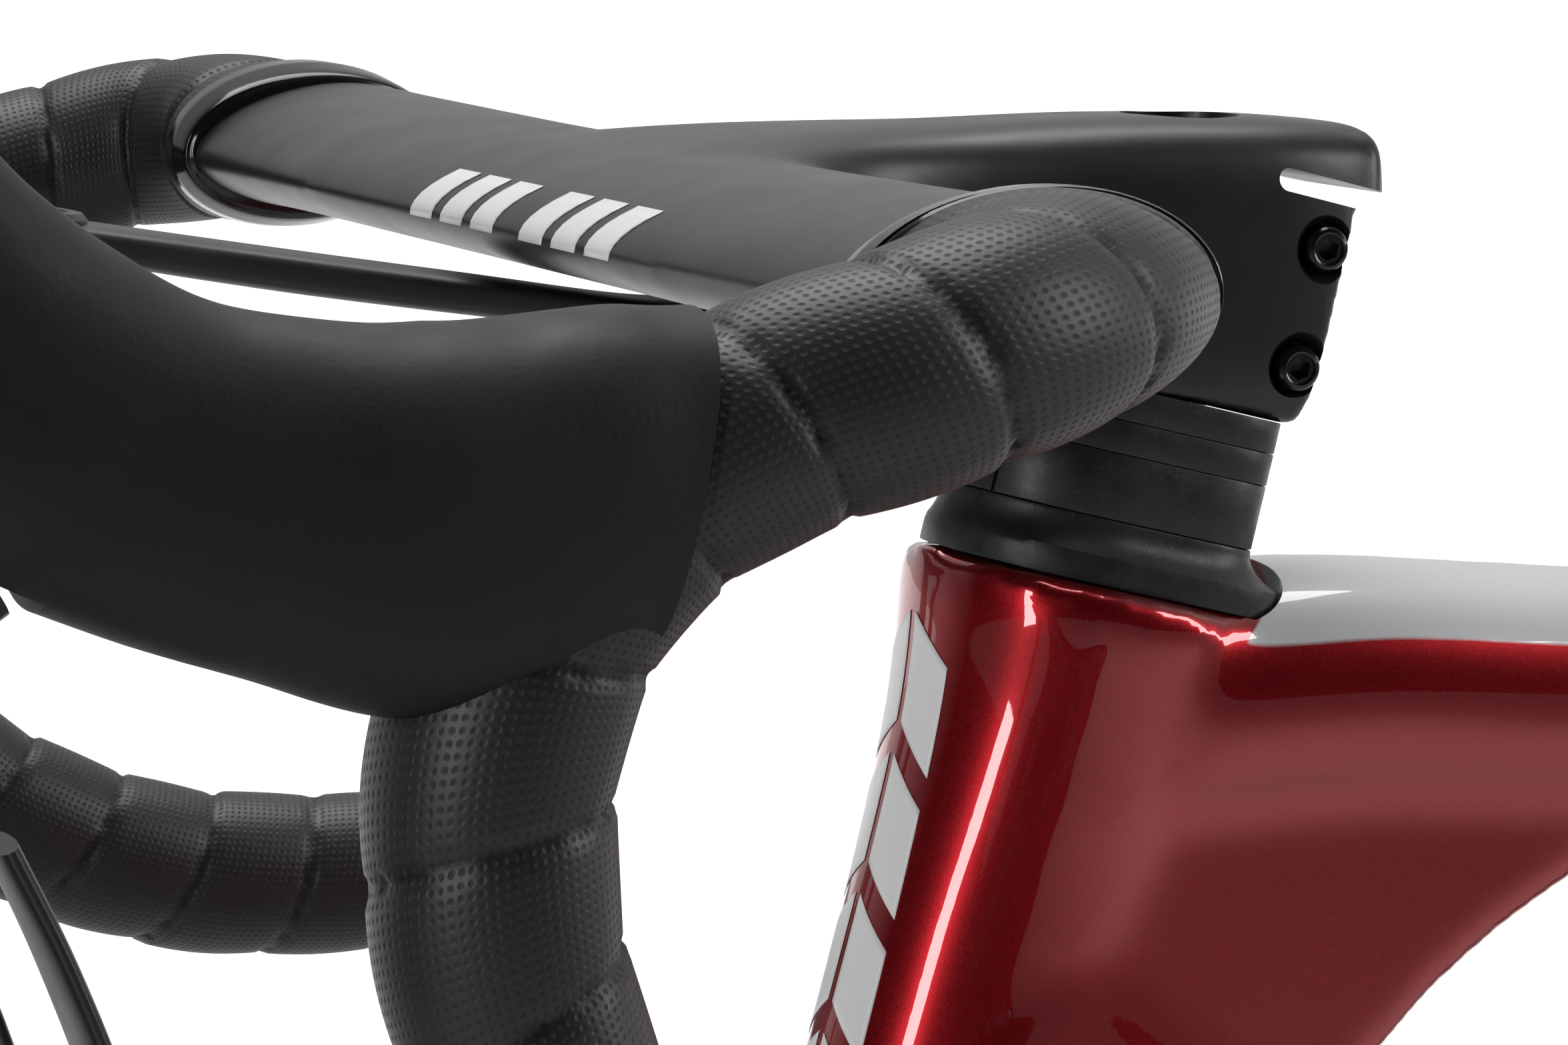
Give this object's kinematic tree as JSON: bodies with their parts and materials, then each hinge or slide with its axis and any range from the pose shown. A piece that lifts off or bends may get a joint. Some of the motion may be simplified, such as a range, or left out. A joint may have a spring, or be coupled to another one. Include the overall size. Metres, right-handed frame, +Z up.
{
  "type": "road bicycle",
  "caption": "Road bicycle with deep rims, hydraulic disc brakes, a two-ring chain drive and a one-piece aero bar and stem; fork and frame in metallic red.",
  "frame": {"origin": "on the ground plane, on the centre plane, halfway between the axles", "axes": "+X forward, +Y to the rider's left, +Z up"},
  "size_m": [1.6666, 0.415, 0.9701],
  "materials": {
    "frame_paint": "gloss metallic red under clear coat",
    "carbon": "satin carbon",
    "cockpit_black": "satin",
    "spacer_black": "fine speckled satin",
    "bar_tape": "matt, dimpled",
    "hood_rubber": "matt",
    "tyre_rubber": "matt",
    "gloss_black": "gloss",
    "black_alloy": "anodised black",
    "steel": "brushed",
    "dark_steel": "dark satin",
    "pad": "matt compound",
    "saddle_black": "matt"
  },
  "bodies": {
    "frame": {"frame": "frame_paint", "headset_upper_bearing": "steel", "headset_lower_bearing": "steel", "bottom_bracket_cup_left": "black_alloy", "bottom_bracket_cup_right": "black_alloy", "rear_thru_axle": "black_alloy", "rear_brake_caliper": "black_alloy", "chain": "steel", "rear_derailleur_knuckle": "black_alloy", "front_derailleur_body": "black_alloy", "headset_cover": "spacer_black"},
    "saddle": {"seat_post": "carbon", "saddle_rails": "dark_steel", "saddle_base": "gloss_black", "saddle_cover": "saddle_black"},
    "steering": {"fork": "frame_paint", "spacer_lower": "spacer_black", "spacer_middle": "spacer_black", "spacer_upper": "spacer_black", "cockpit": "cockpit_black", "stem_bolt_lower": "gloss_black", "stem_bolt_upper": "gloss_black", "bar_tape_left": "bar_tape", "bar_tape_right": "bar_tape", "tape_ring_left": "gloss_black", "tape_ring_right": "gloss_black", "hood_left": "hood_rubber", "hood_right": "hood_rubber", "computer_mount": "cockpit_black", "front_thru_axle": "black_alloy", "front_brake_caliper": "black_alloy"},
    "front_wheel": {"front_rim": "carbon", "front_tyre": "tyre_rubber", "front_hub": "black_alloy", "front_rotor": "steel"},
    "rear_wheel": {"rear_rim": "carbon", "rear_tyre": "tyre_rubber", "rear_hub": "black_alloy", "rear_rotor": "steel"},
    "cassette": {"cassette": "steel"},
    "crank": {"crank_arm_right": "carbon", "crank_arm_left": "carbon", "chainring_large": "dark_steel", "chainring_small": "dark_steel"},
    "brake_lever_left": {"brake_lever_left": "gloss_black"},
    "brake_lever_right": {"brake_lever_right": "gloss_black"},
    "shift_paddle_left": {"shift_paddle_left": "cockpit_black"},
    "shift_paddle_right": {"shift_paddle_right": "cockpit_black"},
    "front_pad_outer": {"front_pad_outer": "pad"},
    "front_pad_inner": {"front_pad_inner": "pad"},
    "rear_pad_outer": {"rear_pad_outer": "pad"},
    "rear_pad_inner": {"rear_pad_inner": "pad"},
    "pedal_left": {"pedal_left": "gloss_black"},
    "pedal_right": {"pedal_right": "gloss_black"},
    "guide_pulley": {"guide_pulley": "cockpit_black"},
    "tension_pulley": {"tension_pulley": "cockpit_black"},
    "front_derailleur_cage": {"front_derailleur_cage": "dark_steel"},
    "derailleur_link": {"rear_derailleur_link": "black_alloy"},
    "derailleur_arm": {"rear_derailleur_arm": "black_alloy"},
    "derailleur_cage": {"rear_derailleur_cage": "dark_steel"}
  },
  "joints": [
    {"name": "steering", "type": "hinge", "parent": "frame", "child": "steering", "pos_m": [0.30227, 0, 0.81547], "axis": [-0.2924, 0, 0.9563], "range_deg": [-60, 60]},
    {"name": "saddle_height", "type": "slide", "parent": "frame", "child": "saddle", "axis": [-0.284, 0, 0.9588], "range_m": [-0.05, 0.06]},
    {"name": "front_wheel_spin", "type": "hinge", "parent": "steering", "child": "front_wheel", "pos_m": [0.495, 0, 0.339], "axis": [0, 1, 0], "continuous": true},
    {"name": "rear_wheel_spin", "type": "hinge", "parent": "frame", "child": "rear_wheel", "pos_m": [-0.495, 0, 0.339], "axis": [0, 1, 0], "continuous": true},
    {"name": "crank_spin", "type": "hinge", "parent": "frame", "child": "crank", "pos_m": [-0.09102, 0, 0.269], "axis": [0, 1, 0], "continuous": true},
    {"name": "cassette_spin", "type": "hinge", "parent": "frame", "child": "cassette", "pos_m": [-0.495, 0, 0.339], "axis": [0, 1, 0], "continuous": true},
    {"name": "pedal_left_spin", "type": "hinge", "parent": "crank", "child": "pedal_left", "pos_m": [-0.26352, 0.106, 0.269], "axis": [0, 1, 0], "continuous": true},
    {"name": "pedal_right_spin", "type": "hinge", "parent": "crank", "child": "pedal_right", "pos_m": [0.08148, -0.106, 0.269], "axis": [0, 1, 0], "continuous": true},
    {"name": "brake_lever_left", "type": "hinge", "parent": "steering", "child": "brake_lever_left", "pos_m": [0.52427, 0.19, 0.85947], "axis": [0, 1, 0], "range_deg": [0, 16], "stiffness_Nm_per_rad": 2, "springref_deg": -8.59},
    {"name": "shift_paddle_left", "type": "hinge", "parent": "brake_lever_left", "child": "shift_paddle_left", "pos_m": [0.51227, 0.195, 0.81547], "axis": [0.2425, 0, 0.9701], "range_deg": [-6, 0], "stiffness_Nm_per_rad": 0.5, "springref_deg": 2.86},
    {"name": "brake_lever_right", "type": "hinge", "parent": "steering", "child": "brake_lever_right", "pos_m": [0.52427, -0.19, 0.85947], "axis": [0, 1, 0], "range_deg": [0, 16], "stiffness_Nm_per_rad": 2, "springref_deg": -8.59},
    {"name": "shift_paddle_right", "type": "hinge", "parent": "brake_lever_right", "child": "shift_paddle_right", "pos_m": [0.51227, -0.195, 0.81547], "axis": [-0.2425, 0, -0.9701], "range_deg": [-6, 0], "stiffness_Nm_per_rad": 0.5, "springref_deg": 2.86},
    {"name": "front_pad_outer", "type": "slide", "parent": "steering", "child": "front_pad_outer", "axis": [0, -1, 0], "range_m": [0, 0.0003]},
    {"name": "front_pad_inner", "type": "slide", "parent": "steering", "child": "front_pad_inner", "axis": [0, 1, 0], "range_m": [0, 0.0003]},
    {"name": "rear_pad_outer", "type": "slide", "parent": "frame", "child": "rear_pad_outer", "axis": [0, -1, 0], "range_m": [0, 0.0003]},
    {"name": "rear_pad_inner", "type": "slide", "parent": "frame", "child": "rear_pad_inner", "axis": [0, 1, 0], "range_m": [0, 0.0003]},
    {"name": "derailleur_link", "type": "hinge", "parent": "frame", "child": "derailleur_link", "pos_m": [-0.499, -0.09, 0.299], "axis": [1, 0, 0], "range_deg": [-20, 20], "deforming": ["chain"]},
    {"name": "derailleur_arm", "type": "hinge", "parent": "derailleur_link", "child": "derailleur_arm", "pos_m": [-0.481, -0.09, 0.264], "axis": [1, 0, 0], "range_deg": [-20, 20], "deforming": ["chain"]},
    {"name": "derailleur_cage", "type": "hinge", "parent": "derailleur_arm", "child": "derailleur_cage", "pos_m": [-0.481, -0.056, 0.244], "axis": [0, 1, 0], "range_deg": [-25, 10], "stiffness_Nm_per_rad": 1.5, "springref_deg": -34.38, "deforming": ["chain"]},
    {"name": "guide_pulley_spin", "type": "hinge", "parent": "derailleur_cage", "child": "guide_pulley", "pos_m": [-0.481, -0.0486, 0.244], "axis": [0, 1, 0], "continuous": true},
    {"name": "tension_pulley_spin", "type": "hinge", "parent": "derailleur_cage", "child": "tension_pulley", "pos_m": [-0.455, -0.0486, 0.183], "axis": [0, 1, 0], "continuous": true},
    {"name": "front_derailleur_shift", "type": "slide", "parent": "frame", "child": "front_derailleur_cage", "axis": [0, 1, 0], "range_m": [0, 0.0075], "deforming": ["chain"]}
  ],
  "couplings": [
    {"joint": "cassette_spin", "follows": "crank_spin", "ratio": 2.9412},
    {"joint": "guide_pulley_spin", "follows": "crank_spin", "ratio": -4.5455},
    {"joint": "tension_pulley_spin", "follows": "crank_spin", "ratio": 4.5455},
    {"joint": "derailleur_arm", "follows": "derailleur_link", "ratio": -1},
    {"joint": "front_pad_outer", "follows": "brake_lever_left", "m_per_rad": 0.0010206},
    {"joint": "front_pad_inner", "follows": "brake_lever_left", "m_per_rad": 0.0010206},
    {"joint": "rear_pad_outer", "follows": "brake_lever_right", "m_per_rad": 0.0010206},
    {"joint": "rear_pad_inner", "follows": "brake_lever_right", "m_per_rad": 0.0010206}
  ]
}
